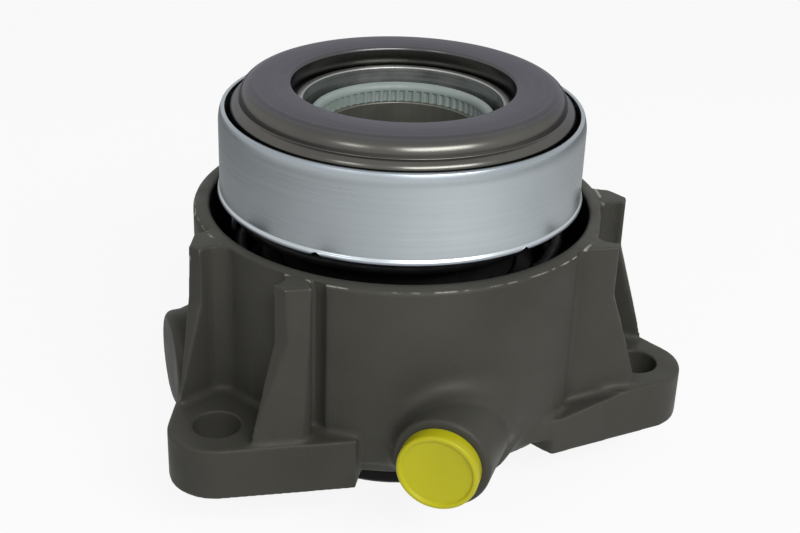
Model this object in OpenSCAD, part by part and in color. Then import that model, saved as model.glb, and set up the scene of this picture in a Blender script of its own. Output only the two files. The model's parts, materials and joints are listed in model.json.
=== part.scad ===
// Concentric clutch release cylinder with its ball release bearing, in millimetres.
// Z is the shaft axis, z = 0 is the mounting face, and the release face points up.
// The bearing is shown pushed out to its stop, as it is before it is fitted.

/* [Housing] */
// Diameter of the circle through the bolt holes
bolt_circle_d = 95; // [93:0.5:97]
// Diameter of a bolt hole
bolt_hole_d = 8.5; // [8.2:0.1:9]
// Radius of a lug's round tip
lug_tip_r = 8.75; // [8.25:0.25:9.5]
// Height of a lug above the mounting face
lug_t = 10; // [9:0.25:11]
// Angle between a lug's straight sides and its own axis
lug_side_a = 38; // [36.5:0.5:39]
// Half the width of the pocket for a bolt's head
pocket_half_w = 9.2; // [8.6:0.1:9.8]
// Radius of the corners at the back of a pocket
pocket_r = 3.5; // [2.5:0.1:4.5]
// Width of the two ribs beside a pocket
rib_w = 5.6; // [4.4:0.1:7]
// How far a rib's upright edge stands out of the cup's wall
rib_out = 4.1; // [3.4:0.1:5]
// How far a rib's foot reaches past the bolt circle
rib_past = 1; // [-1:0.1:2]
// Height at which a rib's edge turns outward
rib_knee_z = 29; // [25:0.5:33]
// Wall of the cup
cup_wall = 2.3; // [2:0.1:2.7]
// Gap between the cup and the shroud's lower lip
cup_gap = 1.5; // [1.2:0.1:1.8]
// Height of the cup's rim
rim_z = 39.2; // [38:0.1:40]
// Height of the floor that the spring stands on
floor_z = 14; // [13.4:0.1:15]
// Height of the cup wall's lower edge
skirt_z = 3; // [2.4:0.1:3.6]
// How far the wall panels between the lugs stand out
panel_t = 0.8; // [0.4:0.1:1.2]
// Radius of the pilot spigot under the housing
spigot_r = 22.5; // [22:0.1:23.5]
// Length of the pilot spigot
spigot_l = 11.5; // [10.5:0.25:13]

/* [Ports] */
// Azimuth of the inlet port
port_az = -105; // [-107:0.5:-102]
// How far the inlet's axis passes beside the shaft axis
port_off = 20.4; // [19.8:0.1:21]
// Azimuth of the blank boss for the other pipe layout
blank_az = -161; // [-163:0.5:-158]
// Height of both bosses' axis
port_z = 10.4; // [10.1:0.1:10.8]
// Radius of a boss at its foot
boss_r = 9.6; // [9.2:0.1:9.9]
// How far the inlet boss stands out of the cup's wall, along its axis
boss_l = 10.6; // [10:0.1:11.6]
// How far the blank boss stands out of the cup's wall
blank_l = 6.8; // [6:0.1:8]
// Radius of the inlet bore
port_r = 5; // [4.6:0.1:5.4]
// Radius of the drilled passage to the cylinder
passage_r = 1.5; // [1.2:0.1:1.7]
// Radius of the transport plug's head
plug_head_r = 7.2; // [6.8:0.1:7.6]
// Thickness of the transport plug's head
plug_head_t = 3; // [2.5:0.1:3.6]

/* [Cylinder] */
// Bore radius of the guide sleeve
sleeve_bore_r = 14.8; // [14.5:0.1:15]
// Wall of the guide sleeve
sleeve_t = 1.2; // [1:0.1:1.3]
// Width of the ring chamber between the sleeve and the hydraulic bore
chamber_w = 6.5; // [6.2:0.1:6.8]
// Wall of the hydraulic cylinder
cyl_wall = 4; // [3.4:0.1:4.4]
// Release stroke from the stop to the retracted end
stroke = 14; // [11:0.25:14.25]
// Thickness of the piston's flange
flange_t = 2; // [1.7:0.1:2.4]
// Height of the lip seal under the piston
seal_h = 4.5; // [4:0.1:5]
// Wall of the stop ring
stop_t = 1.2; // [0.9:0.1:1.4]
// Wall of the piston's nose
nose_wall = 2.3; // [2.1:0.1:2.6]

/* [Spring] */
// Wire diameter of the preload spring
wire_d = 2.2; // [1.8:0.1:2.4]
// Gap between the spring and the hydraulic cylinder
spring_gap = 2.7; // [2.4:0.1:3]
// Turns of the preload spring
spring_turns = 4.5; // [3.5:0.5:5]

/* [Bearing] */
// Ball diameter
ball_d = 7; // [6.6:0.05:7.2]
// Number of balls
ball_count = 16; // [12:1:18]
// Wall of the standing race's tube
race_wall = 1.6; // [1.3:0.1:1.9]
// Land between that tube and the balls
inner_land = 3; // [2.8:0.1:3.3]
// Land between the balls and the turning race's largest radius
outer_land = 2.3; // [2.1:0.1:2.6]
// Height of the release face
face_z = 62.3; // [61.9:0.1:63]
// Gap between the release face's hole and the standing race's tube
face_gap = 0.6; // [0.4:0.1:0.9]
// Gap between the turning race and the shroud
shroud_room = 0.9; // [0.8:0.1:1.1]
// Sheet thickness of the shroud
sheet_t = 0.8; // [0.6:0.1:0.9]
// How far the shroud hangs below the bearing's seat
shroud_hang = 4.4; // [4:0.1:5]
// How far the shroud's upper edge lies below the release face
shroud_low = 4.3; // [3.9:0.1:4.9]

/* [Hidden] */
$fn = 96;
lug_count = 3;
lug_az = -130.5;

// Clearances between pieces that slide, turn or come out
run_gap = 0.1;
lip_gap = 0.05;
ball_gap = 0.1;
shroud_gap = 0.35;
end_gap = 0.5;

// Sleeve and hydraulic cylinder, from the shaft outward
sleeve_r = sleeve_bore_r + sleeve_t;
cyl_r = sleeve_r + chamber_w;
cyl_out_r = cyl_r + cyl_wall;
chamber_z = 3.5;
piston_in_r = sleeve_r + run_gap;
piston_r = cyl_r - run_gap;

// Bearing
ball_r = ball_d / 2;
groove_r = ball_r + ball_gap;
over_ball = 6.3;
under_ball = 3.2;
ball_z = face_z - over_ball - ball_r;
race_base_z = ball_z - ball_r - under_ball;
race_bore_r = piston_in_r + nose_wall;
race_tube_r = race_bore_r + race_wall;
pitch_r = race_tube_r + inner_land + ball_r;
race_rim_r = pitch_r + 1.2;
race_r = pitch_r + ball_r + outer_land;
race_top_z = face_z - 3.3;
face_hole_r = race_tube_r + face_gap;
face_flat_r = pitch_r + 0.5;
face_t = 1.9;
lip_t = 1.7;
lip_z = face_z - 3.7;
shoulder_r = 3.2;
bead_r = 2.2;
bead_z = face_z - 5.7;
skirt_bottom_z = ball_z - 1.8;
cage_w = ball_d + 2.2;
cage_t = 1.5;

// Shroud
shroud_in_r = race_r + shroud_room;
shroud_r = shroud_in_r + sheet_t;
shroud_lip = 0.4;
shroud_bottom_z = race_base_z - shroud_hang;
shroud_top_z = face_z - shroud_low;
curl_z = shroud_top_z - 1.6;
curl_in_r = race_r + shroud_gap;
nick_az = [-114, -50];
nick_r = 0.7;
tab_az = -152;
tab_w = 0.7;
tab_l = 2.8;

// Piston
flange_top_z = race_base_z - sheet_t;
flange_z = flange_top_z - flange_t;
flange_r = shroud_in_r - 1;
nose_h = 3.2;
nose_top_z = race_base_z + nose_h;
tube_top_z = flange_z - stroke - end_gap;
piston_engaged = 2;
piston_z = tube_top_z - piston_engaged;
support_t = 1.5;
support_z = piston_z - support_t;
seal_z = support_z - seal_h;
seal_lip_t = 1;
seal_heel_t = 1.8;
seal_lip_h = 1.2;
seal_relief = 0.35;
band_up = 7;
band_z = piston_z + band_up;
band_h = 5;
band_t = 1.2;
clip_z = race_base_z + 1;
clip_t = 0.8;
clip_in_r = race_bore_r - 0.7;
clip_out_r = race_bore_r + 0.45;
clip_open = 3;

// Stop ring and seals
stop_r = sleeve_r + stop_t;
stop_in_r = sleeve_bore_r + 0.7;
sleeve_past = 4;
sleeve_top_z = nose_top_z + sleeve_past;
stop_top_z = sleeve_top_z + 3.5;
spline_count = 60;
spline_w = 0.5;
spline_depth = 0.4;
o_ring_r = 1.1;
o_ring_z = chamber_z - 5.1;
seal_ring_z = -8.2;
seal_ring_h = 3.4;
seal_ring_depth = 2.2;
seal_ring_inset = 0.1;

// Spring
spring_r = cyl_out_r + spring_gap + wire_d / 2;
seat_t = 1;
collar_h = 2;
collar_t = 1;
collar_gap = 0.3;
spring_top_z = flange_z - seat_t;
collar_r = spring_r - wire_d / 2 - collar_gap;

// Housing
bolt_r = bolt_circle_d / 2;
cup_r = shroud_r + shroud_lip + cup_gap;
cup_wall_r = cup_r + cup_wall;
hub_r = cyl_out_r + 3.5;
lug_span_a = 32;
foot_span_a = 45;
ledge_drop = 2.4;
ledge_l = 10.5;
rib_v = pocket_half_w + rib_w;
rib_reach = cup_wall_r + rib_out;
rib_foot = bolt_r + rib_past;
rib_top_z = rim_z - 0.1;
rib_setback = 1;
rib_draft = 3;
slide_az = -80;
slide_x = 25.4;
slide_y = -20.6;
rim_chamfer = 0.6;
edge_break = 0.5;
cast_r = 1.4;
foot_r = 2.4;
boss_flat = 0.15;
boss_draft = 2.5;
pad_w = 1.5;
pad_t = 1;
panel_from = 22.5;
panel_to = 96;
panel_low = 1.4;
panel_z = skirt_z + 1.6;
panel_edge = 0.6;

// Ports and the transport plug
port_foot = sqrt(pow(cup_wall_r, 2) - pow(port_off, 2));
boss_reach = port_foot + boss_l;
blank_reach = cup_wall_r + blank_l;
port_wall = 1.3;
port_floor = sqrt(pow(cup_r + port_wall, 2) - pow(port_off - port_r, 2));
stem_room = 1.6;
plug_stem_l = boss_reach - port_floor - stem_room;
plug_stem_wall = 1.2;
plug_rim_w = 0.9;
plug_dish = 0.5;

// Which piece to make

// The straight side of a lug: where it leaves the round tip, and its points seen from the shaft axis
side_start = [bolt_r + lug_tip_r * sin(lug_side_a), lug_tip_r * cos(lug_side_a)];
side_offset = bolt_r * sin(lug_side_a) + lug_tip_r;
function side_at(a) = side_offset / sin(lug_side_a + a) * [cos(a), sin(a)];

// Places a shape at each lug, with X along the lug
module at_lugs() {
    for (i = [0 : lug_count - 1])
        rotate(lug_az + i * 360 / lug_count)
            children();
}

// Turns a shape drawn along Z so that it points out of the housing at an azimuth, beside the shaft axis
module at_port(az, off) {
    rotate(az)
        translate([0, off, port_z])
            rotate([0, 90, 0])
                children();
}

// A ring with a rectangular section
module ring(r_in, r_out, z, h) {
    rotate_extrude()
        translate([r_in, z])
            square([r_out - r_in, h]);
}

// A lug from above: a round tip and two straight sides that run back to the body
module lug_plan() {
    root = side_at(lug_span_a);
    translate([bolt_r, 0])
        circle(r = lug_tip_r);
    polygon([side_start, root, 0.8 * root,
             [0.8 * root[0], -0.8 * root[1]], [root[0], -root[1]], [side_start[0], -side_start[1]]]);
}

// A rib beside the bolt pocket: upright at the top, then running out to a foot on the lug
module rib() {
    bury = 4;
    reach = 80;
    difference() {
        translate([0, rib_v, 0])
            rotate([90, 0, 0])
                linear_extrude(rib_w)
                    polygon([[hub_r, lug_t - bury], [rib_foot, lug_t - bury], [rib_foot, lug_t],
                             [rib_reach, rib_knee_z], [rib_reach, rib_top_z - edge_break],
                             [rib_reach - edge_break, rib_top_z], [hub_r, rib_top_z]]);
        // the rib's outer corner ends a little inside the plane of the lug's side, with a casting draft
        translate([side_start[0], side_start[1], lug_t])
            rotate(180 - lug_side_a)
                translate([0, rib_setback, 0])
                    rotate([-rib_draft, 0, 0])
                        translate([-reach, -reach, -reach])
                            cube([2 * reach, reach, 2 * reach]);
        cylinder(r = cup_r + 1, h = rim_z + 1);
    }
}

// The rounded corner between a rib and the wall at the back of the pocket
module pocket_corner() {
    back = sqrt(pow(cup_wall_r, 2) - pow(pocket_half_w - pocket_r, 2));
    bury = 1;
    bite = 0.1;
    translate([0, 0, lug_t - bury])
        linear_extrude(rim_z - lug_t + bury - 2 * edge_break)
            difference() {
                translate([back - cup_wall / 2, pocket_half_w - pocket_r])
                    square([cup_wall / 2 + pocket_r, pocket_r + bury]);
                translate([back + pocket_r - bite, pocket_half_w - pocket_r + bite])
                    circle(r = pocket_r);
            }
}

// One side of a lug runs on along the wall as a low foot
module lug_foot() {
    inset = 0.995;
    raise = 0.3;
    root = inset * side_at(lug_span_a - 2);
    far = inset * side_at(foot_span_a);
    translate([0, 0, skirt_z + raise])
        linear_extrude(lug_t - ledge_drop - skirt_z - raise)
            polygon([[root[0], -root[1]], [far[0], -far[1]], [0.9 * far[0], -0.9 * far[1]],
                     [0.9 * root[0], -0.9 * root[1]]]);
}

// Mounting lug with its bolt pocket between two ribs, and a ledge that slopes down on one side
module lug() {
    reach = 40;
    difference() {
        linear_extrude(lug_t)
            lug_plan();
        translate([rib_foot - 2, -rib_v + rib_w / 2 - reach, lug_t])
            rotate([0, -atan2(ledge_drop, ledge_l), 0])
                translate([-reach, 0, 0])
                    cube([reach, reach, reach]);
    }
    lug_foot();
    for (m = [0, 1])
        mirror([0, m, 0])
            pocket_corner();
}

// All ribs, less the space the side core of the inlet leaves when it is drawn
module ribs() {
    reach = 60;
    difference() {
        at_lugs()
            for (m = [0, 1])
                mirror([0, m, 0])
                    rib();
        rotate(slide_az)
            translate([slide_x, slide_y, skirt_z])
                cube([reach, 2 * reach, rim_z]);
    }
}

// The cup, the hydraulic cylinder inside it and the spigot below it, as one revolved section
module cup() {
    rotate_extrude()
        polygon([[sleeve_r, -spigot_l], [spigot_r - 1, -spigot_l], [spigot_r, -spigot_l + 1],
                 [spigot_r, 0], [hub_r, 0], [hub_r + 1, skirt_z], [cup_wall_r - 1, skirt_z],
                 [cup_wall_r, skirt_z + 1], [cup_wall_r, rim_z - rim_chamfer],
                 [cup_wall_r - rim_chamfer, rim_z], [cup_r + edge_break, rim_z],
                 [cup_r, rim_z - edge_break], [cup_r, floor_z], [cyl_out_r, floor_z],
                 [cyl_out_r, tube_top_z - edge_break], [cyl_out_r - edge_break, tube_top_z],
                 [cyl_r + edge_break, tube_top_z], [cyl_r, tube_top_z - edge_break],
                 [cyl_r, chamber_z], [sleeve_r, chamber_z]]);
}

// Wall panel between two lugs, a little proud of the wall
module panel() {
    rotate(panel_from)
        rotate_extrude(angle = panel_to - panel_from)
            polygon([[cup_r + 1, panel_z], [cup_wall_r + panel_t, panel_z],
                     [cup_wall_r + panel_t, rim_z - panel_low - panel_edge],
                     [cup_wall_r + panel_t - panel_edge, rim_z - panel_low], [cup_r + 1, rim_z - panel_low]]);
}

// Section of a round cast boss: it tapers a little towards its rounded end
module boss_section(foot, reach, edge) {
    end_r = boss_r - (reach - foot) * tan(boss_draft);
    polygon([[0, foot], [boss_r, foot], [end_r, reach - edge], [0, reach - edge]]);
    translate([0, foot])
        square([end_r - edge, reach - foot]);
    translate([end_r - edge, reach - edge])
        circle(r = edge);
}

// Takes off a shape below the flat underside of the bosses
module above_flat() {
    below = 40;
    difference() {
        children();
        translate([0, 0, port_z - boss_r + boss_flat - below])
            cylinder(r = 2 * boss_reach, h = below);
    }
}

// Blank boss, square to the wall, with a foot that flares into it
module blank_boss() {
    foot = cup_wall_r - 1.6;
    flare = cup_wall_r + panel_t + foot_r;
    above_flat()
        at_port(blank_az, 0)
            rotate_extrude() {
                boss_section(foot, blank_reach, cast_r);
                difference() {
                    translate([0, foot])
                        square([boss_r + foot_r, flare - foot]);
                    translate([boss_r + foot_r, flare])
                        circle(r = foot_r);
                }
            }
}

// Inlet boss, slanting out of the wall from a low pad
module inlet_boss() {
    above_flat()
        difference() {
            union() {
                at_port(port_az, port_off)
                    rotate_extrude()
                        boss_section(port_foot - boss_l, boss_reach, edge_break);
                intersection() {
                    at_port(port_az, port_off)
                        cylinder(r = boss_r + pad_w, h = boss_reach);
                    cylinder(r = cup_wall_r + panel_t + pad_t, h = rim_z);
                }
            }
            translate([0, 0, -1])
                cylinder(r = (cup_r + cup_wall_r) / 2, h = rim_z + 2);
        }
}

// Inlet bore and the passage drilled from its end down to the cylinder
module inlet_bore() {
    from = [port_floor + 1, port_off, port_z];
    to = [(cyl_r - 0.6) * cos(45), (cyl_r - 0.6) * sin(45), chamber_z + passage_r + 0.2];
    run = from - to;
    at_port(port_az, port_off)
        translate([0, 0, port_floor])
            cylinder(r = port_r, h = 2 * boss_reach);
    rotate(port_az)
        translate(to)
            rotate([0, acos(run[2] / norm(run)), atan2(run[1], run[0])])
                cylinder(r = passage_r, h = norm(run));
}

module housing() {
    color([0.29, 0.28, 0.26])
        difference() {
            union() {
                cup();
                at_lugs() {
                    lug();
                    panel();
                }
                ribs();
                inlet_boss();
                blank_boss();
            }
            at_lugs()
                translate([bolt_r, 0, -1])
                    cylinder(d = bolt_hole_d, h = lug_t + 2);
            inlet_bore();
            ring(sleeve_r - 1, sleeve_r + 2 * o_ring_r, o_ring_z - 1.3 * o_ring_r, 2.6 * o_ring_r);
            ring(spigot_r - seal_ring_depth, spigot_r + 1, seal_ring_z, seal_ring_h);
        }
}

// Steel tube over the gearbox shaft, pressed into the spigot
module guide_sleeve() {
    color([0.40, 0.34, 0.27])
        ring(sleeve_bore_r, sleeve_r, -spigot_l, sleeve_top_z + spigot_l);
}

module sleeve_o_ring() {
    color([0.06, 0.06, 0.06])
        rotate_extrude()
            translate([sleeve_r + o_ring_r, o_ring_z])
                circle(r = o_ring_r);
}

// Splined ring on the sleeve's end that stops the piston
module stop_ring() {
    color([0.57, 0.62, 0.60])
        difference() {
            rotate_extrude()
                polygon([[sleeve_r, nose_top_z], [stop_r, nose_top_z], [stop_r, stop_top_z - edge_break],
                         [stop_r - edge_break, stop_top_z], [stop_in_r + 0.6, stop_top_z],
                         [stop_in_r, stop_top_z - 0.9], [stop_in_r, sleeve_top_z], [sleeve_r, sleeve_top_z]]);
            for (i = [0 : spline_count - 1])
                rotate(i * 360 / spline_count)
                    translate([stop_in_r - 0.5, -spline_w / 2, sleeve_top_z])
                        cube([0.5 + spline_depth, spline_w, stop_top_z]);
        }
}

// Rubber ring in the spigot's groove
module spigot_seal() {
    in_r = spigot_r - seal_ring_depth;
    round_r = seal_ring_h / 4;
    color([0.07, 0.07, 0.08])
        rotate_extrude() {
            translate([in_r, seal_ring_z])
                square([seal_ring_depth - seal_ring_inset - round_r, seal_ring_h]);
            for (k = [1, 3])
                translate([spigot_r - seal_ring_inset - round_r, seal_ring_z + k * round_r])
                    circle(r = round_r);
        }
}

// Ring piston with the flange and nose that carry the bearing
module piston() {
    color([0.16, 0.16, 0.17])
        rotate_extrude()
            polygon([[piston_in_r, piston_z], [piston_r - edge_break, piston_z],
                     [piston_r, piston_z + edge_break], [piston_r, flange_z],
                     [flange_r - edge_break, flange_z], [flange_r, flange_z + edge_break],
                     [flange_r, flange_top_z], [race_bore_r, flange_top_z], [race_bore_r, clip_z],
                     [clip_in_r, clip_z], [clip_in_r, clip_z + clip_t], [race_bore_r, clip_z + clip_t],
                     [race_bore_r, nose_top_z - edge_break], [race_bore_r - edge_break, nose_top_z],
                     [piston_in_r, nose_top_z], [piston_in_r, band_z + band_h],
                     [piston_in_r + band_t, band_z + band_h], [piston_in_r + band_t, band_z],
                     [piston_in_r, band_z]]);
}

// Flat ring between the piston and its seal
module seal_support() {
    color([0.82, 0.80, 0.74])
        ring(piston_in_r + lip_gap, piston_r - lip_gap, support_z, support_t);
}

// Two-lipped seal that faces the fluid
module piston_seal() {
    in_r = sleeve_r + lip_gap;
    out_r = cyl_r - lip_gap;
    heel_z = support_z - seal_heel_t;
    mid_z = seal_z + seal_lip_h;
    color([0.08, 0.08, 0.08])
        rotate_extrude()
            polygon([[in_r, seal_z], [in_r + seal_lip_t, seal_z], [in_r + 2 * seal_lip_t, heel_z],
                     [out_r - 2 * seal_lip_t, heel_z], [out_r - seal_lip_t, seal_z], [out_r, seal_z],
                     [out_r, mid_z], [out_r - seal_relief, heel_z], [out_r - seal_relief, support_z],
                     [in_r + seal_relief, support_z], [in_r + seal_relief, heel_z], [in_r, mid_z]]);
}

// Low-friction band in the piston's bore
module guide_band() {
    color([0.75, 0.72, 0.62])
        ring(sleeve_r + lip_gap, piston_in_r + band_t, band_z, band_h);
}

// Ring under the flange that centres the spring's upper end
module spring_seat() {
    color([0.10, 0.10, 0.10]) {
        ring(collar_r - collar_t, flange_r - edge_break, spring_top_z, seat_t);
        ring(collar_r - collar_t, collar_r, spring_top_z - collar_h, collar_h);
    }
}

// Coil spring with a dead turn at each end, swept as a tube along a helix
module preload_spring() {
    sides = 12;
    per_turn = 36;
    steps = spring_turns * per_turn;
    low = floor_z + wire_d / 2;
    high = spring_top_z - wire_d / 2;
    dead = 0.8;
    dead_rise = dead * wire_d * 1.04;
    live = spring_turns - 2 * dead;
    function helix_z(t) = t < dead ? low + t / dead * dead_rise
        : t > spring_turns - dead ? high - (spring_turns - t) / dead * dead_rise
        : low + dead_rise + (t - dead) / live * (high - low - 2 * dead_rise);
    tube = [for (i = [0 : steps], k = [0 : sides - 1])
        let (t = i / per_turn, a = 360 * t, b = 360 * k / sides, r = spring_r + wire_d / 2 * cos(b))
        [r * cos(a), r * sin(a), helix_z(t) + wire_d / 2 * sin(b)]];
    walls = [for (i = [0 : steps - 1], k = [0 : sides - 1])
        let (m = (k + 1) % sides)
        [i * sides + k, i * sides + m, (i + 1) * sides + m, (i + 1) * sides + k]];
    ends = [[for (k = [sides - 1 : -1 : 0]) k], [for (k = [0 : sides - 1]) steps * sides + k]];
    color([0.35, 0.36, 0.38])
        polyhedron(points = tube, faces = concat(walls, ends), convexity = 10);
}

// Drawn sheet cup round the bearing, with a rolled lower lip and a curled upper edge
module shroud() {
    color([0.74, 0.78, 0.82]) {
        difference() {
            rotate_extrude()
                polygon([[shroud_in_r, shroud_bottom_z], [shroud_r + shroud_lip, shroud_bottom_z],
                         [shroud_r + shroud_lip, shroud_bottom_z + 0.7], [shroud_r, shroud_bottom_z + 1.1],
                         [shroud_r, curl_z], [curl_in_r + sheet_t, shroud_top_z], [curl_in_r, shroud_top_z],
                         [shroud_in_r, curl_z], [shroud_in_r, race_base_z], [race_bore_r, race_base_z],
                         [race_bore_r, flange_top_z], [shroud_in_r, flange_top_z]]);
            for (az = nick_az)
                rotate(az)
                    translate([shroud_in_r - 1, 0, shroud_bottom_z])
                        rotate([0, 90, 0])
                            cylinder(r = nick_r, h = 4);
        }
        rotate(tab_az)
            translate([shroud_in_r, -tab_w / 2, shroud_bottom_z - tab_l])
                cube([sheet_t, tab_w, tab_l + edge_break]);
    }
}

// Open wire ring half in the piston's nose and half in the standing race
module race_clip() {
    color([0.45, 0.46, 0.48])
        difference() {
            ring(clip_in_r, clip_out_r, clip_z, clip_t);
            translate([0, -clip_open / 2, clip_z - 1])
                cube([2 * clip_out_r, clip_open, clip_t + 2]);
        }
}

// Race that stays still on the piston, with its ball groove and the tube up the bore
module standing_race() {
    color([0.62, 0.63, 0.64])
        difference() {
            rotate_extrude()
                difference() {
                    polygon([[race_bore_r, race_base_z], [race_rim_r, race_base_z],
                             [race_rim_r, ball_z - ball_r - 0.3], [pitch_r - ball_r + 0.3, ball_z + 0.2],
                             [race_tube_r, ball_z + 0.2], [race_tube_r, race_top_z - edge_break],
                             [race_tube_r - edge_break, race_top_z], [race_bore_r, race_top_z]]);
                    translate([pitch_r, ball_z])
                        circle(r = groove_r);
                }
            ring(clip_in_r, clip_out_r, clip_z, clip_t);
        }
}

// Points on an arc of an outline, from one angle to another
function arc(centre, r, from, to, n = 8) =
    [for (i = [0 : n]) centre + r * [cos(from + (to - from) * i / n), sin(from + (to - from) * i / n)]];

// Race that turns with the clutch: a flat release face, a rounded shoulder and a bead
module turning_race() {
    inner_r = pitch_r - ball_r + 0.6;
    skirt_in_r = pitch_r + groove_r - 0.1;
    shoulder = [face_flat_r, face_z - shoulder_r];
    bead = [race_r - bead_r, bead_z];
    color([0.36, 0.35, 0.37])
        rotate_extrude()
            difference() {
                polygon(concat([[face_hole_r, lip_z], [face_hole_r, face_z - edge_break],
                                [face_hole_r + edge_break, face_z]],
                               arc(shoulder, shoulder_r, 90, 8), arc(bead, bead_r, 62, 0),
                               [[race_r, skirt_bottom_z], [skirt_in_r, skirt_bottom_z], [pitch_r, ball_z],
                                [inner_r, lip_z], [inner_r, face_z - face_t],
                                [face_hole_r + lip_t, face_z - face_t], [face_hole_r + lip_t, lip_z]]));
                translate([pitch_r, ball_z])
                    circle(r = groove_r);
            }
}

module balls() {
    color([0.80, 0.81, 0.83])
        for (i = [0 : ball_count - 1])
            rotate(i * 360 / ball_count)
                translate([pitch_r, 0, ball_z])
                    sphere(r = ball_r, $fn = 48);
}

// Conical ring that spaces the balls
module cage() {
    color([0.55, 0.48, 0.30])
        difference() {
            rotate_extrude()
                translate([pitch_r, ball_z])
                    rotate(-45)
                        square([cage_w, cage_t], center = true);
            for (i = [0 : ball_count - 1])
                rotate(i * 360 / ball_count)
                    translate([pitch_r, 0, ball_z])
                        sphere(r = ball_r + ball_gap, $fn = 48);
        }
}

// Lipped rubber ring on the standing race's tube, behind the release face
module front_seal() {
    color([0.05, 0.05, 0.05])
        rotate_extrude()
            polygon([[race_tube_r, lip_z - 4], [race_tube_r + 0.8, lip_z - 4],
                     [race_tube_r + 0.8, lip_z - 1.6], [race_tube_r + 2.4, lip_z - 1.2],
                     [race_tube_r + 2.4, lip_z - 0.6],
                     [race_tube_r, lip_z - 0.6]]);
}

// Cupped rubber ring that closes the bearing below the skirt
module rear_seal() {
    out_r = race_r - 0.9;
    low = race_base_z + 0.8;
    color([0.05, 0.05, 0.05])
        rotate_extrude()
            polygon([[race_rim_r, low], [out_r, low], [out_r, skirt_bottom_z - 0.7],
                     [out_r - 0.5, skirt_bottom_z - 0.7], [out_r - 1, low + 1], [race_rim_r, low + 1]]);
}

// Push-in plug that keeps the inlet clean: a dished head on a hollow stem
module inlet_plug() {
    head = boss_reach + plug_head_t;
    stem_r = port_r - run_gap;
    color([0.80, 0.80, 0.12])
        at_port(port_az, port_off)
            rotate_extrude()
                polygon([[0, boss_reach + 1], [stem_r - plug_stem_wall, boss_reach],
                         [stem_r - plug_stem_wall, boss_reach - plug_stem_l],
                         [stem_r - edge_break, boss_reach - plug_stem_l],
                         [stem_r, boss_reach - plug_stem_l + edge_break], [stem_r, boss_reach],
                         [plug_head_r - 0.3, boss_reach], [plug_head_r, boss_reach + 0.3],
                         [plug_head_r, head - 0.4], [plug_head_r - 0.4, head],
                         [plug_head_r - plug_rim_w, head], [plug_head_r - plug_rim_w - 0.2, head - plug_dish],
                         [0, head - plug_dish]]);
}

housing();
guide_sleeve();
sleeve_o_ring();
stop_ring();
spigot_seal();
piston();
seal_support();
piston_seal();
guide_band();
spring_seat();
preload_spring();
shroud();
race_clip();
standing_race();
turning_race();
balls();
cage();
front_seal();
rear_seal();
inlet_plug();
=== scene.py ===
import json
import math

import bmesh
import bpy
from mathutils import Matrix, Vector


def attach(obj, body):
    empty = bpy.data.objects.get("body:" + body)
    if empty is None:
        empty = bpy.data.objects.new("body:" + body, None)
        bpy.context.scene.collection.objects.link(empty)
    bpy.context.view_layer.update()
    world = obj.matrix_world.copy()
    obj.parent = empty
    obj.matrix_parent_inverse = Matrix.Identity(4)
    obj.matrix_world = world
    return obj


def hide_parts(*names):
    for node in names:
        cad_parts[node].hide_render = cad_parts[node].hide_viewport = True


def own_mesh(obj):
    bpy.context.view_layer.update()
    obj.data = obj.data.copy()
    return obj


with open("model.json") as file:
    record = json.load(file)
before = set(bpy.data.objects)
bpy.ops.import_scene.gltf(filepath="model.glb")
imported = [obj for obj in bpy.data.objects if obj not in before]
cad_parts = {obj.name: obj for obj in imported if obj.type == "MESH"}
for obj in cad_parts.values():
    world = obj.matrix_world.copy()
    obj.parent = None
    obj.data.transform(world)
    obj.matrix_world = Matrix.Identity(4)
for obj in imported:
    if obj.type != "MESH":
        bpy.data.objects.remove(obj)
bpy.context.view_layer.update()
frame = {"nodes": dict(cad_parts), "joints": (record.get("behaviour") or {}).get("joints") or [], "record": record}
MM = 0.001

# Heights and radii of the bearing, the sleeve, the spring and the plug, in millimetres
face_z = 62.3
ball_z = 52.5
pitch_r = 26.5
groove_r = 3.6
seat_z = 45.8
race_r = 32.3
tube_r = 20.0
nose_r = 18.4
shroud_r = 34.0
sheet_t = 0.8
shroud_z = 41.4
curl_z = 58.0
sleeve_bore_r = 14.8
sleeve_r = 16.0
sleeve_top_z = 53.0
stop_top_z = 56.5
spigot_z = -11.5
floor_z = 14.0
spring_top_z = 42.0
spring_r = 30.3
wire_r = 1.1
port_z = 10.4
port_off = 20.4
boss_end = 42.9
stem_end = 35.46
stem_r = 4.9
plug_r = 7.2
plug_t = 3.0

# Sizes of the casting, in millimetres, and the lugs' directions, in degrees
cup_r = 35.9
panel_r = 39.0
panel_top_z = 37.8
rim_z = 39.2
skirt_z = 3.0
hub_r = 27.0
boss_end_r = 8.65
boss_draft = math.radians(4.5)
root_fillet = 3.2
bolt_r = 47.5
bolt_hole_r = 4.25
lug_az = (-10.5, 109.5, 229.5)

# How far the casting's skin departs from the solid, in millimetres, and how often it is smoothed
panel_rise = 1.25
panel_below_rim = 0.15
skirt_low_z = 1.8
skin_voxel = 0.3
edge_passes = 7
hollow_passes = 26
root_passes = 20
fillet_passes = 10
kept_triangles = 0.17


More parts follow.
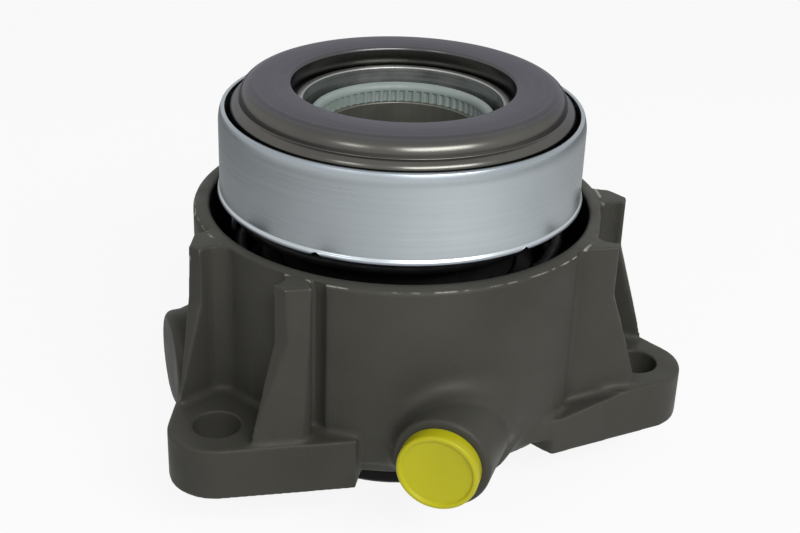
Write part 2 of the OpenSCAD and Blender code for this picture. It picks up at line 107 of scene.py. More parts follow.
# Camera of the photograph, found from the round edges of the shroud, the rim and the release face
def photo_camera():
    pixels, distance, height = 1400, 244.8156, 146.2454
    yaw, pitch, roll = 0.0021886, 0.4616508, 0.0369206
    ahead = Vector((math.sin(yaw), math.cos(yaw), 0))
    across = Vector((math.cos(yaw), -math.sin(yaw), 0))
    above = Vector((0, 0, 1))
    look = math.cos(pitch) * ahead - math.sin(pitch) * above
    rise = math.sin(pitch) * ahead + math.cos(pitch) * above
    right = math.cos(roll) * across + math.sin(roll) * rise
    up = -math.sin(roll) * across + math.cos(roll) * rise
    lens = bpy.data.cameras.new("photo_camera")
    lens.sensor_width = 36
    lens.lens = 36 * pixels / 800
    lens.clip_start = 0.01
    camera = bpy.data.objects.new("photo_camera", lens)
    turn = Matrix((right, up, -look)).transposed().to_4x4()
    camera.matrix_world = Matrix.Translation((0, -distance * MM, height * MM)) @ turn
    bpy.context.scene.collection.objects.link(camera)
    bpy.context.scene.camera = camera


# A surface finish: one Principled shader, and the textures that feed it
class Finish:
    def __init__(self, name, colour, rough, metal=0.0, specular=0.5):
        self.material = bpy.data.materials.new(name)
        self.material.use_nodes = True
        self.tree = self.material.node_tree
        self.shader = self.tree.nodes["Principled BSDF"]
        self.set(self.shader, Base_Color=(*colour, 1), Roughness=rough, Metallic=metal)
        self.shader.inputs["Specular IOR Level"].default_value = specular
        self.place = self.tree.nodes.new("ShaderNodeTexCoord").outputs["Object"]

    def set(self, node, **values):
        for key, value in values.items():
            node.inputs[key.replace("_", " ")].default_value = value

    def join(self, source, target):
        self.tree.links.new(source, target)

    def stretched(self, scale, turn=(0, 0, 0)):
        node = self.tree.nodes.new("ShaderNodeMapping")
        self.set(node, Scale=scale, Rotation=turn)
        self.join(self.place, node.inputs["Vector"])
        return node.outputs["Vector"]

    def grain(self, scale, detail=3.0, where=None, roughness=0.5):
        node = self.tree.nodes.new("ShaderNodeTexNoise")
        self.set(node, Scale=scale, Detail=detail, Roughness=roughness)
        self.join(where or self.place, node.inputs["Vector"])
        return node.outputs["Fac"]

    def radius(self):
        node = self.tree.nodes.new("ShaderNodeVectorMath")
        node.operation = "LENGTH"
        self.join(self.stretched((1, 1, 0)), node.inputs[0])
        return node.outputs["Value"]

    def lathe_lines(self, scale, detail=4.0):
        node = self.tree.nodes.new("ShaderNodeTexNoise")
        node.noise_dimensions = "1D"
        self.set(node, Scale=scale, Detail=detail)
        self.join(self.radius(), node.inputs["W"])
        return node.outputs["Fac"]

    def height(self):
        node = self.tree.nodes.new("ShaderNodeSeparateXYZ")
        self.join(self.place, node.inputs[0])
        return node.outputs["Z"]

    def edges(self):
        return self.tree.nodes.new("ShaderNodeNewGeometry").outputs["Pointiness"]

    def spread(self, source, low, high, to_low=0.0, to_high=1.0):
        node = self.tree.nodes.new("ShaderNodeMapRange")
        for socket, value in zip(node.inputs[1:5], (low, high, to_low, to_high)):
            socket.default_value = value
        self.join(source, node.inputs[0])
        return node.outputs[0]

    def ramp(self, source, *stops):
        node = self.tree.nodes.new("ShaderNodeValToRGB")
        marks = node.color_ramp.elements
        while len(marks) < len(stops):
            marks.new(0.5)
        for mark, (at, colour) in zip(marks, stops):
            mark.position = at
            mark.color = (*colour, 1)
        self.join(source, node.inputs["Fac"])
        return node.outputs["Color"]

    def blend(self, share, first, second, way="MIX"):
        node = self.tree.nodes.new("ShaderNodeMix")
        node.data_type = "RGBA"
        node.blend_type = way
        if isinstance(share, float):
            node.inputs["Factor"].default_value = share
        else:
            self.join(share, node.inputs["Factor"])
        for socket, source in ((node.inputs[6], first), (node.inputs[7], second)):
            if isinstance(source, tuple):
                socket.default_value = (*source, 1)
            else:
                self.join(source, socket)
        return node.outputs[2]

    def colour(self, source):
        self.join(source, self.shader.inputs["Base Color"])

    def rough(self, source, low, high):
        self.join(self.spread(source, 0.25, 0.75, low, high), self.shader.inputs["Roughness"])

    def relief(self, *layers):
        under = None
        for source, strength, depth in layers:
            node = self.tree.nodes.new("ShaderNodeBump")
            self.set(node, Strength=strength, Distance=depth)
            self.join(source, node.inputs["Height"])
            if under:
                self.join(under, node.inputs["Normal"])
            under = node.outputs["Normal"]
        self.join(under, self.shader.inputs["Normal"])


# Dull as-cast alloy, scuffed bare along its edges and the panels' tops, which also carry painted highlights;
# painted shade, near black, in the cup and on the spigot
def cast_alloy():
    black, white = (0.0, 0.0, 0.0), (1.0, 1.0, 1.0)
    f = Finish("cast_alloy", (0.046, 0.0455, 0.0375), 0.5, metal=0.1, specular=0.12)
    speck = f.grain(1500, 2)
    skin = f.ramp(f.grain(45, 4), (0.3, (0.0455, 0.0445, 0.0372)), (0.7, (0.0605, 0.0592, 0.0508)))
    dusty = f.blend(f.spread(speck, 0.55, 0.75, 0.0, 0.25), skin, (0.07, 0.067, 0.058))
    # Painted highlight, partly real scuffing: convex edges (high pointiness) on the lug tops and round the rim
    # lightened to a pale grey
    patchy = f.ramp(f.grain(260, 4), (0.42, (0.1, 0.1, 0.1)), (0.62, (0.8, 0.8, 0.8)))
    edge_scuffs_and_highlight = f.blend(f.spread(f.edges(), 0.545, 0.64), black, patchy)
    lug_tops_and_rim = f.ramp(f.spread(f.height(), 0.0, 40 * MM), (0.21, black), (0.225, white),
                              (0.255, white), (0.27, black), (0.9, black), (0.915, white))
    edge_scuffed_and_highlit = f.blend(f.blend(1.0, edge_scuffs_and_highlight, lug_tops_and_rim, "MULTIPLY"), dusty, (0.45, 0.43, 0.39))
    # Painted highlight, partly real chipping: a thin light line along the panels' top edges, just under the rim
    by_panel = f.ramp(f.spread(f.radius(), (panel_r - 1) * MM, (panel_r + 1) * MM),
                      (0.275, black), (0.325, white), (0.55, white), (0.6, black))
    panel_rim_highlight = f.blend(f.spread(f.height(), (rim_z - 0.58) * MM, (rim_z - 0.48) * MM), black, by_panel)
    chipped = f.ramp(f.grain(420, 4), (0.48, black), (0.62, (0.6, 0.6, 0.6)))
    panel_scuffed_and_highlit = f.blend(f.blend(1.0, panel_rim_highlight, chipped, "MULTIPLY"), edge_scuffed_and_highlit, (0.42, 0.40, 0.34))
    # Painted shade: the cup's inside, under the shroud, is near black
    outside_cup = f.spread(f.radius(), (cup_r + 0.05) * MM, (cup_r + 0.3) * MM)
    painted_cup_shade = f.blend(outside_cup, (0.008, 0.008, 0.008), panel_scuffed_and_highlit)
    # Painted shade: the spigot, below the mounting face, is near black
    f.colour(f.blend(f.spread(f.height(), -0.6 * MM, -0.2 * MM), (0.012, 0.012, 0.012), painted_cup_shade))
    f.rough(f.grain(220, 3), 0.4, 0.56)
    f.relief((f.grain(700, 3), 0.1, 0.0002), (speck, 0.12, 0.00006))
    return f.material


# Bright zinc-plated sheet, brushed round its axis, with painted shade and a painted bluish reflection where its
# lip and its curl turn away
def zinc_sheet():
    f = Finish("zinc_sheet", (0.46, 0.50, 0.52), 0.3, metal=1.0)
    brushed = f.grain(1.0, 4, f.stretched((14, 14, 2600)))
    cloud = f.grain(45, 3)
    tone = f.ramp(brushed, (0.3, (0.45, 0.492, 0.515)), (0.7, (0.485, 0.53, 0.552)))
    dulled = f.blend(f.spread(cloud, 0.45, 0.75, 0.0, 0.35), tone, (0.39, 0.43, 0.455))
    # Painted shade and painted bluish reflection: darker, bluer colour on the lower lip and the curl, where the
    # sheet turns away
    turned_edge_shade = f.ramp(f.spread(f.height(), (shroud_z - 0.2) * MM, (curl_z + 0.2) * MM),
                  (0.0, (0.5, 0.5, 0.66)), (0.06, (1, 1, 1)), (0.9, (1, 1, 1)), (0.98, (0.64, 0.66, 0.69)))
    f.colour(f.blend(1.0, dulled, turned_edge_shade, "MULTIPLY"))
    f.rough(f.grain(1.0, 3, f.stretched((30, 30, 1500))), 0.24, 0.4)
    f.relief((f.grain(60, 2), 0.1, 0.0006), (brushed, 0.05, 0.00005))
    return f.material


# Dark hardened steel with faint lathe lines; painted reflection makes the flat face darker and violet and the
# shoulder lighter and browner
def dark_steel():
    f = Finish("dark_steel", (0.085, 0.082, 0.085), 0.24, metal=1.0)
    f.set(f.shader, Specular_Tint=(0.65, 0.65, 0.7, 1))
    lines = f.lathe_lines(900)
    # Painted reflection: the flat face is coloured darker and violet, the shoulder lighter and browner, as each
    # reflects the room
    on_face = f.spread(f.height(), (face_z - 1.1) * MM, (face_z - 0.1) * MM)
    tone = f.blend(on_face, (0.112, 0.111, 0.097), (0.083, 0.082, 0.09))
    stain = f.blend(f.spread(f.grain(55, 4), 0.3, 0.72, 0.5, 0.0), tone, (0.062, 0.058, 0.062))
    streaked = f.blend(f.spread(lines, 0.45, 0.7, 0.0, 0.4), stain, (0.12, 0.115, 0.108))
    f.colour(f.blend(f.spread(f.grain(420, 3), 0.58, 0.75, 0.0, 0.4), streaked, (0.11, 0.104, 0.095)))
    f.rough(lines, 0.19, 0.32)
    f.relief((f.grain(120, 2), 0.08, 0.0004), (lines, 0.06, 0.00004))
    return f.material


# Ground steel of the inner race
def race_steel():
    f = Finish("race_steel", (0.34, 0.33, 0.33), 0.3, metal=1.0)
    ground = f.grain(1.0, 3, f.stretched((25, 25, 3200)))
    f.colour(f.ramp(ground, (0.3, (0.25, 0.255, 0.25)), (0.7, (0.38, 0.39, 0.382))))
    f.rough(f.grain(180, 3), 0.24, 0.42)
    f.relief((ground, 0.12, 0.00004))
    return f.material


# Oiled, brownish drawn tube
def sleeve_steel():
    f = Finish("sleeve_steel", (0.16, 0.152, 0.125), 0.38, metal=0.7)
    drawn = f.grain(1.0, 3, f.stretched((900, 900, 30)))
    oil = f.grain(120, 3)
    base = f.ramp(drawn, (0.3, (0.155, 0.157, 0.133)), (0.7, (0.175, 0.178, 0.155)))
    f.colour(f.blend(f.spread(oil, 0.45, 0.75, 0.0, 0.5), base, (0.11, 0.108, 0.085)))
    f.rough(oil, 0.3, 0.5)
    f.relief((drawn, 0.03, 0.00004))
    return f.material


# Pale grey moulding, with painted shade in its inner corners
def pale_plastic():
    f = Finish("pale_plastic", (0.31, 0.365, 0.345), 0.45)
    cloud = f.grain(140, 3)
    clean = f.ramp(cloud, (0.3, (0.25, 0.3, 0.285)), (0.7, (0.315, 0.365, 0.35)))
    # Painted shade: inner corners and spline grooves (low pointiness) darkened
    f.colour(f.blend(f.spread(f.edges(), 0.42, 0.49, 0.6, 0.0), clean, (0.1, 0.115, 0.1)))
    f.rough(f.grain(700, 2), 0.36, 0.52)
    f.relief((f.grain(1600, 2), 0.1, 0.00005))
    return f.material


# Soft yellow moulding, with painted shade in its inner corners
def yellow_plastic():
    f = Finish("yellow_plastic", (0.56, 0.55, 0.012), 0.36, specular=0.3)
    cloud = f.grain(90, 3)
    bright = f.ramp(cloud, (0.3, (0.44, 0.415, 0.005)), (0.7, (0.495, 0.472, 0.007)))
    # Painted shade: inner corners (low pointiness) darkened
    f.colour(f.blend(f.spread(f.edges(), 0.44, 0.48, 1.0, 0.0), bright, (0.2, 0.19, 0.012)))
    f.rough(f.grain(500, 2), 0.3, 0.45)
    f.relief((f.grain(240, 2), 0.08, 0.0003), (f.grain(2200, 2), 0.1, 0.00004))
    return f.material


# Matte black rubber with a few specks of dust
def black_rubber():
    f = Finish("black_rubber", (0.012, 0.012, 0.013), 0.6, specular=0.35)
    bloom = f.grain(240, 3)
    matt = f.ramp(bloom, (0.3, (0.009, 0.009, 0.010)), (0.75, (0.020, 0.020, 0.021)))
    f.colour(f.blend(f.spread(f.grain(1300, 1), 0.74, 0.78, 0.0, 0.6), matt, (0.35, 0.35, 0.33)))
    f.rough(f.grain(900, 2), 0.5, 0.72)
    f.relief((f.grain(1800, 3), 0.2, 0.00006))
    return f.material


# Black glass-filled moulding
def dark_plastic():
    f = Finish("dark_plastic", (0.012, 0.012, 0.013), 0.6, specular=0.2)
    fibre = f.grain(1.0, 3, f.stretched((500, 1700, 500), (0.3, 0.2, 0.6)))
    f.colour(f.ramp(fibre, (0.3, (0.009, 0.009, 0.010)), (0.75, (0.02, 0.02, 0.021))))
    f.rough(fibre, 0.55, 0.72)
    f.relief((fibre, 0.15, 0.00005))
    return f.material


# Off-white low-friction band
def band_plastic():
    f = Finish("band_plastic", (0.52, 0.48, 0.36), 0.5)
    f.colour(f.ramp(f.grain(200, 3), (0.3, (0.46, 0.42, 0.31)), (0.7, (0.56, 0.52, 0.40))))
    f.rough(f.grain(800, 2), 0.42, 0.6)
    f.relief((f.grain(1500, 2), 0.1, 0.00005))
    return f.material


# Blackened spring wire, painted near black as shade in the cup's gap
def spring_steel():
    f = Finish("spring_steel", (0.03, 0.03, 0.031), 0.45, metal=0.6, specular=0.3)
    scale = f.grain(260, 4)
    # Painted shade: wire coloured near black, as the shade it sits in
    f.colour(f.ramp(scale, (0.3, (0.008, 0.008, 0.009)), (0.7, (0.02, 0.02, 0.021))))
    f.rough(f.grain(700, 3), 0.4, 0.6)
    f.relief((f.grain(1400, 3), 0.15, 0.00005))
    return f.material


# Polished bearing balls
def ball_steel():
    f = Finish("ball_steel", (0.62, 0.63, 0.65), 0.09, metal=1.0)
    film = f.grain(300, 2)
    f.colour(f.ramp(film, (0.3, (0.56, 0.57, 0.59)), (0.7, (0.66, 0.67, 0.69))))
    f.rough(film, 0.06, 0.14)
    return f.material


# Moulded ball cage
def cage_plastic():
    f = Finish("cage_plastic", (0.26, 0.2, 0.08), 0.5)
    f.colour(f.ramp(f.grain(220, 3), (0.3, (0.22, 0.165, 0.062)), (0.7, (0.3, 0.235, 0.1))))
    f.rough(f.grain(900, 2), 0.42, 0.6)
    f.relief((f.grain(1500, 2), 0.12, 0.00005))
    return f.material


# Points of a ball groove in a section, from one angle to another
def groove(start, end, count=14):
    angles = [math.radians(start + (end - start) * i / count) for i in range(count + 1)]
    return [(pitch_r + groove_r * math.cos(a), ball_z + groove_r * math.sin(a), 0) for a in angles]


# A turned shape: corners of its section as radius, height and rounding, spun about the shaft axis
def turned(corners, steps=192, closed=True):
    bm = bmesh.new()
    points = [bm.verts.new((r * MM, 0, z * MM)) for r, z, _ in corners]
    follow = points[1:] + points[:1] if closed else points[1:]
    for a, b in zip(points, follow):
        bm.edges.new((a, b))
    for point, (_, _, size) in zip(points, corners):
        if size:
            bmesh.ops.bevel(bm, geom=[point], offset=size * MM, offset_type="OFFSET", affect="VERTICES",
                            segments=10 if size > 1 else 4, profile=0.5, material=-1)
    bmesh.ops.spin(bm, geom=bm.verts[:] + bm.edges[:], cent=(0, 0, 0), axis=(0, 0, 1),
                   angle=2 * math.pi, steps=steps, use_merge=True)
    bmesh.ops.remove_doubles(bm, verts=bm.verts[:], dist=1e-6)
    bmesh.ops.recalc_face_normals(bm, faces=bm.faces[:])
    return bm


# Direction of a point round the shaft axis, in degrees
def azimuth(v):
    return math.degrees(math.atan2(v.co.y, v.co.x))


# Makes a finished piece of a mesh, on the body that carries it
def piece(name, mesh, body, finish, stands_for, sharp=40):
    if isinstance(mesh, bmesh.types.BMesh):
        bm, mesh = mesh, bpy.data.meshes.new(name)
        bm.to_mesh(mesh)
        bm.free()
    mesh.materials.clear()
    mesh.materials.append(finishes[finish])
    mesh.shade_smooth()
    mesh.set_sharp_from_angle(angle=math.radians(sharp))
    obj = bpy.data.objects.new(name, mesh)
    bpy.context.scene.collection.objects.link(obj)
    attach(obj, body)
    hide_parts(stands_for)
    return obj


# Remeshes or thins a mesh with one modifier
def modified(mesh, kind, **settings):
    blank = bpy.data.objects.new("casting_stage", mesh)
    bpy.context.scene.collection.objects.link(blank)
    step = blank.modifiers.new(kind.lower(), kind)
    for key, value in settings.items():
        setattr(step, key, value)
    bpy.context.view_layer.update()
    made = bpy.data.meshes.new_from_object(blank.evaluated_get(bpy.context.evaluated_depsgraph_get()))
    bpy.data.objects.remove(blank)
    return made


# Rounds the edges and inner corners of a mesh, more with each pass
def soften(bm, verts, passes):
    for _ in range(passes):
        bmesh.ops.smooth_vert(bm, verts=verts, factor=0.5,
                              use_axis_x=True, use_axis_y=True, use_axis_z=True)


# Melts the root of the slanting inlet boss and lays a fillet there, fading out towards its underside
def round_inlet_root(bm):
    wall_reach, boss_reach, sunk, root_start, root_low_z = 4.5, 5, 1.0, 20, 2.5
    fade_from_z, fade_height, least_fillet = 5.5, 5.0, 0.5
    wall_slack, boss_slack = 0.8, 0.9
    inlet = inlet_axis()
    into_inlet, out_of_inlet = inlet.inverted(), inlet.to_3x3()
    root = []
    for v in bm.verts:
        place = into_inlet @ v.co / MM
        by_wall = abs(v.co.xy.length / MM - panel_r) < wall_reach
        by_boss = -sunk < place.xy.length - boss_radius(place) < boss_reach
        if by_wall and by_boss and root_start < place.z < boss_end - 3 and v.co.z > root_low_z * MM:
            root.append(v)
    soften(bm, root, root_passes)
    for v in root:
        size = root_fillet * min((v.co.z / MM - fade_from_z) / fade_height, 1.0)
        if size < least_fillet:
            continue
        for _ in range(3):
            place = into_inlet @ v.co / MM
            off_wall = size - (v.co.xy.length / MM - panel_r)
            off_boss = size - (place.xy.length - boss_radius(place))
            if not (0 < off_wall < size + wall_slack and 0 < off_boss < size + boss_slack):
                break
            from_wall = v.co.xy.to_3d().normalized() * off_wall
            from_boss = (out_of_inlet @ place.xy.to_3d()).normalized() * off_boss
            reach = math.hypot(off_wall, off_boss)
            slope = (from_wall + from_boss) / reach
            v.co -= slope * ((size - reach) * MM / slope.length_squared)
    soften(bm, root, fillet_passes)


# Radius of the inlet boss at a place given in the inlet's own frame
def boss_radius(place):
    return boss_end_r + (boss_end - place.z) * math.tan(boss_draft)


# Edges that were cut after casting stay crisp: the rim, the bolt holes, the spigot and the bores
def is_machined(v):
    rim_depth, spigot_top_z, hole_edge = 2, -0.5, 1.2
    if v.co.z > (rim_z - rim_depth) * MM or v.co.z < spigot_top_z * MM or v.co.xy.length < hub_r * MM:
        return True
    holes = [Vector((math.cos(math.radians(a)), math.sin(math.radians(a)))) * bolt_r * MM for a in lug_az]
    return min((v.co.xy - hole).length for hole in holes) < (bolt_hole_r + hole_edge) * MM


# Draws the panels' tops up to the rim and the skirt's edge down, as the photograph shows them
def stretch_wall(bm):
    for v in bm.verts:
        on_wall = v.co.xy.length > (panel_r - 0.9) * MM
        if on_wall and (panel_top_z - 0.7) * MM < v.co.z < (panel_top_z + 0.9) * MM:
            v.co.z = min(v.co.z + panel_rise * MM, (rim_z - panel_below_rim) * MM)
        elif abs(v.co.z - skirt_z * MM) < 0.02 * MM:
            v.co.z = skirt_low_z * MM


# Points that lie below their neighbours, that is the inner corners
def hollows(bm):
    least_lean = 0.017 * MM
    found = []
    for v in bm.verts:
        lean = sum((e.other_vert(v).co - v.co for e in v.link_edges), Vector())
        if v.normal.dot(lean) > least_lean:
            found.append(v)
    return found


# The casting: the solid housing with its edges and inner corners softened as the mould leaves them
def casting():
    bm = bmesh.new()
    bm.from_mesh(frame["nodes"]["housing"].data)
    bmesh.ops.remove_doubles(bm, verts=bm.verts[:], dist=2e-6)
    stretch_wall(bm)
    raw = bpy.data.meshes.new("housing_raw")
    bm.to_mesh(raw)
    bm.free()
    raw.materials.clear()
    skin = modified(raw, "REMESH", mode="VOXEL", voxel_size=skin_voxel * MM)
    bm = bmesh.new()
    bm.from_mesh(skin)
    soften(bm, bm.verts[:], 1)
    soften(bm, [v for v in bm.verts if not is_machined(v)], edge_passes)
    bm.normal_update()
    soften(bm, hollows(bm), hollow_passes)
    round_inlet_root(bm)
    bm.to_mesh(skin)
    bm.free()
    mesh = modified(skin, "DECIMATE", ratio=kept_triangles)
    mesh.name = "housing_casting"
    return mesh


# Turning race: the flat release face, a round shoulder, a slim bead below it and the outer ball groove
def release_ring():
    face_in_r, shoulder_r, valley_z = 20.6, 30.2, 59.2
    bead_r, bead_z, bead_foot_z = 31.8, 58.8, 57.2
    skirt_in_r, skirt_top_z, skirt_foot_z = 30.0, 56.6, 50.7
    under_z, seal_in_r, seal_out_r, seal_top_z = 58.6, 22.3, 23.6, 60.4
    outside = [(face_in_r, under_z, 0.2), (face_in_r, face_z, 0.6), (shoulder_r, face_z, 2.9),
               (shoulder_r, valley_z, 0.12), (bead_r, bead_z, 1.1), (bead_r + 0.1, bead_foot_z, 0.2),
               (race_r, skirt_top_z, 0.2), (race_r, skirt_foot_z, 0.3), (skirt_in_r, skirt_foot_z, 0.15)]
    seal_groove = [(seal_out_r, under_z, 0), (seal_out_r, seal_top_z, 0.4), (seal_in_r, seal_top_z, 0.4),
                   (seal_in_r, under_z, 0.2)]
    return turned(outside + groove(-27.2, 115.4) + seal_groove, steps=288)


# Drawn sheet cup with a rolled lower lip, a curled upper edge, two nicks in the lip and a short tab
def bearing_shroud():
    inner = shroud_r - sheet_t
    lip_r, lip_top_z, wall_top_z = 34.4, 42.1, 56.4
    curl_in_r, curl_out_r = 32.65, 33.45
    nick_r, nicks = 0.8, (-114, -50)
    tab_width, tab_height, tab_mid_z, tab_az = 0.7, 3.3, 40.25, -152
    bm = turned([(inner, shroud_z, 0.25), (lip_r, shroud_z, 0.3), (lip_r, lip_top_z, 0.25),
                 (shroud_r, lip_top_z + 0.4, 0.2), (shroud_r, wall_top_z, 0.9), (curl_out_r, curl_z, 0.3),
                 (curl_in_r, curl_z, 0.3), (inner, wall_top_z, 0.7), (inner, seat_z, 0.2),
                 (nose_r, seat_z, 0.1), (nose_r, seat_z - sheet_t, 0.1), (inner, seat_z - sheet_t, 0.3)],
                steps=480)
    for v in bm.verts:
        if v.co.z < (shroud_z + 1) * MM and v.co.xy.length > (inner - 0.2) * MM:
            for nick in nicks:
                along = math.radians(azimuth(v) - nick) * shroud_r
                if abs(along) < nick_r:
                    v.co.z = max(v.co.z, (shroud_z + math.sqrt(nick_r ** 2 - along ** 2)) * MM)
    tab = bmesh.ops.create_cube(bm, size=1)["verts"]
    bmesh.ops.scale(bm, vec=(sheet_t * MM, tab_width * MM, tab_height * MM), verts=tab)
    bmesh.ops.translate(bm, vec=((inner + sheet_t / 2) * MM, 0, tab_mid_z * MM), verts=tab)
    rim = [e for v in tab for e in v.link_edges]
    bmesh.ops.rotate(bm, cent=(0, 0, 0), matrix=Matrix.Rotation(math.radians(tab_az), 3, "Z"), verts=tab)
    bmesh.ops.bevel(bm, geom=list(set(rim)), offset=0.12 * MM, offset_type="OFFSET", affect="EDGES",
                    segments=2, profile=0.5, material=-1)
    return bm


# Standing race: the inner ball groove, a tube up the bore and a groove for the clip
def standing_race():
    foot_r, foot_top_z, tube_foot_z, tube_top_z = 27.7, 48.7, 52.7, 59.0
    clip_r, clip_low_z, clip_high_z = 18.85, 46.8, 47.6
    outside = [(nose_r, seat_z, 0.1), (foot_r, seat_z, 0.3), (foot_r, foot_top_z, 0)]
    tube = [(tube_r, tube_foot_z, 0.3), (tube_r, tube_top_z, 0.5), (nose_r, tube_top_z, 0.3)]
    clip_groove = [(nose_r, clip_high_z, 0), (clip_r, clip_high_z, 0), (clip_r, clip_low_z, 0),
                   (nose_r, clip_low_z, 0)]
    return turned(outside + groove(-78, -183) + tube + clip_groove, steps=240)


# Plain tube over the gearbox's shaft
def guide_sleeve():
    return turned([(sleeve_bore_r, spigot_z, 0.3), (sleeve_r, spigot_z, 0.3),
                   (sleeve_r, sleeve_top_z, 0.15), (sleeve_bore_r, sleeve_top_z, 0.2)])


# Ring on the sleeve's end: a round lip, and a row of fine splines under it round the bore
def stop_ring():
    ring_r, ring_foot_z, ring_bore_r = 17.2, 49.0, 15.5
    lip_r, lip_low_z = 16.0, 55.6
    spline_top_z, spline_depth, spline_count, columns = 54.95, 0.35, 60, 6
    bm = turned([(sleeve_r, ring_foot_z, 0.1), (ring_r, ring_foot_z, 0.2), (ring_r, stop_top_z, 0.5),
                 (lip_r, stop_top_z, 0.5), (ring_bore_r, lip_low_z, 0.3),
                 (ring_bore_r, spline_top_z + 0.2, 0), (ring_bore_r, spline_top_z, 0),
                 (ring_bore_r, sleeve_top_z, 0), (sleeve_r, sleeve_top_z, 0)], steps=spline_count * columns)
    for v in bm.verts:
        in_groove = round(azimuth(v)) % columns < columns / 2
        in_bore = v.co.xy.length < (ring_bore_r + 0.1) * MM
        if in_groove and in_bore and v.co.z < (spline_top_z + 0.05) * MM:
            v.co.xy *= 1 + spline_depth * MM / v.co.xy.length
    return bm


# The inlet's own frame: it runs out along Z, beside the shaft axis
def inlet_axis():
    pull = next(Vector(j["axis"]) for j in frame["joints"] if j["name"] == "plug_pull")
    beside = Vector((-pull.y, pull.x, 0)) * port_off
    turn = Matrix((beside.normalized(), pull.cross(beside).normalized(), pull)).transposed().to_4x4()
    return Matrix.Translation((beside + Vector((0, 0, port_z))) * MM) @ turn


# Soft push-in plug, spun upright and then laid along the inlet's axis
def inlet_plug():
    head = boss_end + plug_t
    hollow_r, brim, brim_slope, dish = 3.7, 0.85, 0.2, 0.5
    bm = turned([(0, boss_end + 1, 0), (hollow_r, boss_end, 0.3), (hollow_r, stem_end, 0.1),
                 (stem_r, stem_end, 0.4), (stem_r, boss_end, 0.15), (plug_r, boss_end, 0.25),
                 (plug_r, head, 0.5), (plug_r - brim, head, 0.2),
                 (plug_r - brim - brim_slope, head - dish, 0.2), (0, head - dish, 0)],
                steps=128, closed=False)
    bmesh.ops.transform(bm, matrix=inlet_axis(), verts=bm.verts[:])
    return bm


# Coil spring: a round wire wound with a closed turn at each end
def preload_spring():
    bm = bmesh.new()
    ring = bmesh.ops.create_circle(bm, radius=wire_r * MM, segments=14)["verts"]
    start = Matrix.Translation((spring_r * MM, 0, (floor_z + wire_r) * MM))
    bmesh.ops.transform(bm, matrix=start @ Matrix.Rotation(math.pi / 2, 4, "X"), verts=ring)
    ends = [bm.edges[:]]
    last = ring + bm.edges[:]
    dead_turns, live_turns, loose, steps_per_turn = 0.8, 2.9, 1.04, 48
    dead_rise = dead_turns * 2 * wire_r * loose
    live_rise = spring_top_z - floor_z - 2 * wire_r - 2 * dead_rise
    for turns, rise in ((dead_turns, dead_rise), (live_turns, live_rise), (dead_turns, dead_rise)):
        steps = round(steps_per_turn * turns)
        last = bmesh.ops.spin(bm, geom=last, cent=(0, 0, 0), axis=(0, 0, 1), dvec=(0, 0, rise * MM / steps),
                              angle=2 * math.pi * turns, steps=steps)["geom_last"]
    ends.append([g for g in last if isinstance(g, bmesh.types.BMEdge)])
    for edges in ends:
        bmesh.ops.contextual_create(bm, geom=edges)
    bmesh.ops.remove_doubles(bm, verts=bm.verts[:], dist=1e-7)
    bmesh.ops.recalc_face_normals(bm, faces=bm.faces[:])
    return bm


# White where the camera, a gloss or a glass looks at it, and plain soft light for everything else
def seen_white(tree):
    path = tree.nodes.new("ShaderNodeLightPath")
    shown = path.outputs["Is Camera Ray"]
    for kind in ("Is Glossy Ray", "Is Transmission Ray"):
        either = tree.nodes.new("ShaderNodeMath")
        either.operation = "MAXIMUM"
        tree.links.new(shown, either.inputs[0])
        tree.links.new(path.outputs[kind], either.inputs[1])
        shown = either.outputs[0]
    return shown


# Spreads a share from 0 to 1 over two levels
def scaled(tree, source, low, high):
    node = tree.nodes.new("ShaderNodeMapRange")
    node.inputs[3].default_value = low
    node.inputs[4].default_value = high
    tree.links.new(source, node.inputs[0])
    return node.outputs[0]
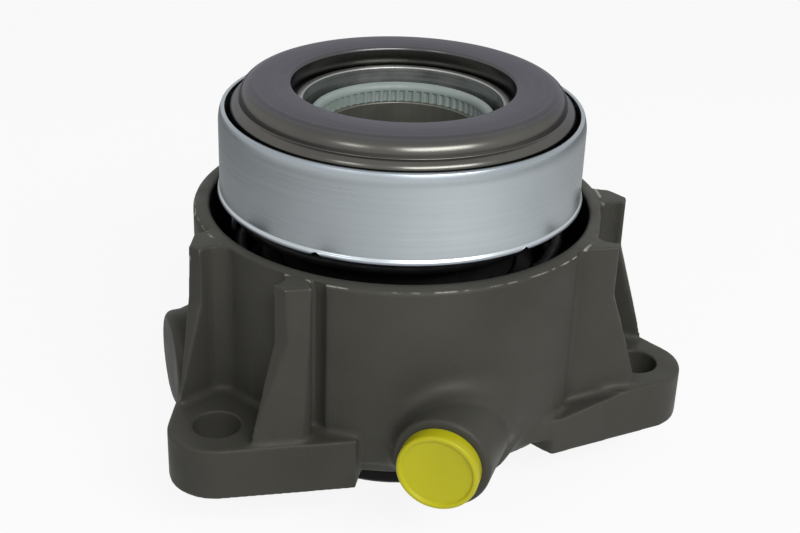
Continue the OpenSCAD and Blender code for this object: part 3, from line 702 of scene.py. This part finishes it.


# White room and paper floor, whose glow in reflections is a painted spot of light, with a wide soft box to the
# right of the camera and a small one to its left
def studio():
    world = bpy.data.worlds.new("studio")
    world.use_nodes = True
    sky = world.node_tree.nodes["Background"]
    sky.inputs["Color"].default_value = (1, 1, 1, 1)
    soft_light = scaled(world.node_tree, seen_white(world.node_tree), 0.32, 1.0)
    world.node_tree.links.new(soft_light, sky.inputs["Strength"])
    bpy.context.scene.world = world

    paper = bpy.data.materials.new("white_paper")
    paper.use_nodes = True
    tree = paper.node_tree
    tree.nodes.clear()
    matte = tree.nodes.new("ShaderNodeBsdfDiffuse")
    matte.inputs["Color"].default_value = (0.86, 0.86, 0.86, 1)
    glow = tree.nodes.new("ShaderNodeEmission")
    place = tree.nodes.new("ShaderNodeTexCoord")
    # Painted light: metals see the floor glow as a spot of light beside the part that fades outward
    painted_light_pool = tree.nodes.new("ShaderNodeMapping")
    painted_light_pool.vector_type = "TEXTURE"
    painted_light_pool.inputs["Location"].default_value = (0.09, -0.14, spigot_z * MM)
    painted_light_pool.inputs["Scale"].default_value = (0.36, 0.36, 0.36)
    fall_off = tree.nodes.new("ShaderNodeTexGradient")
    fall_off.gradient_type = "SPHERICAL"
    tree.links.new(place.outputs["Object"], painted_light_pool.inputs["Vector"])
    tree.links.new(painted_light_pool.outputs["Vector"], fall_off.inputs["Vector"])
    lit = tree.nodes.new("ShaderNodeMath")
    lit.operation = "MAXIMUM"
    tree.links.new(scaled(tree, fall_off.outputs["Fac"], 0.22, 1.25), lit.inputs[0])
    tree.links.new(tree.nodes.new("ShaderNodeLightPath").outputs["Is Camera Ray"], lit.inputs[1])
    tree.links.new(lit.outputs[0], glow.inputs["Strength"])
    mix = tree.nodes.new("ShaderNodeMixShader")
    out = tree.nodes.new("ShaderNodeOutputMaterial")
    tree.links.new(scaled(tree, seen_white(tree), 0.0, 0.9), mix.inputs["Fac"])
    tree.links.new(matte.outputs[0], mix.inputs[1])
    tree.links.new(glow.outputs[0], mix.inputs[2])
    tree.links.new(mix.outputs[0], out.inputs["Surface"])
    bm = bmesh.new()
    bmesh.ops.create_grid(bm, x_segments=1, y_segments=1, size=3)
    bmesh.ops.translate(bm, vec=(0, 0, spigot_z * MM), verts=bm.verts[:])
    mesh = bpy.data.meshes.new("floor")
    bm.to_mesh(mesh)
    bm.free()
    mesh.materials.append(paper)
    floor = bpy.data.objects.new("floor", mesh)
    bpy.context.scene.collection.objects.link(floor)

    lamps = (("right_softbox", 2.6, (0.44, 0.18), (0.22, -0.43, 0.41)),
             ("left_softbox", 0.34, (0.14, 0.12), (-0.30, -0.42, 0.40)))
    aim = Vector((0, 0, 0.04))
    for name, power, size, spot in lamps:
        lamp = bpy.data.lights.new(name, "AREA")
        lamp.energy = power
        lamp.shape = "RECTANGLE"
        lamp.size, lamp.size_y = size
        holder = bpy.data.objects.new(name, lamp)
        holder.location = spot
        holder.rotation_euler = (aim - Vector(spot)).to_track_quat("-Z", "Y").to_euler()
        bpy.context.scene.collection.objects.link(holder)
    bpy.context.scene.view_settings.view_transform = "Standard"


photo_camera()
studio()
finish_makers = (cast_alloy, zinc_sheet, dark_steel, race_steel, sleeve_steel, pale_plastic, yellow_plastic,
                 black_rubber, dark_plastic, band_plastic, spring_steel, ball_steel, cage_plastic)
finishes = {make.__name__: make() for make in finish_makers}
for part in frame["record"]["subparts"]:
    solid = frame["nodes"][part["node"]]
    solid.data.materials.clear()
    solid.data.materials.append(finishes[part["material_slot"]])

piece("housing_casting", casting(), "housing", "cast_alloy", "housing", sharp=60)
piece("release_ring", release_ring(), "turning_race", "dark_steel", "turning_race")
piece("bearing_shroud", bearing_shroud(), "piston", "zinc_sheet", "shroud")
piece("bearing_inner_race", standing_race(), "piston", "race_steel", "standing_race")
piece("sleeve_tube", guide_sleeve(), "housing", "sleeve_steel", "guide_sleeve")
piece("splined_stop", stop_ring(), "housing", "pale_plastic", "stop_ring")
piece("transport_plug", inlet_plug(), "inlet_plug", "yellow_plastic", "inlet_plug")
coil = piece("coil_spring", preload_spring(), "housing", "spring_steel", "preload_spring")
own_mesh(coil)
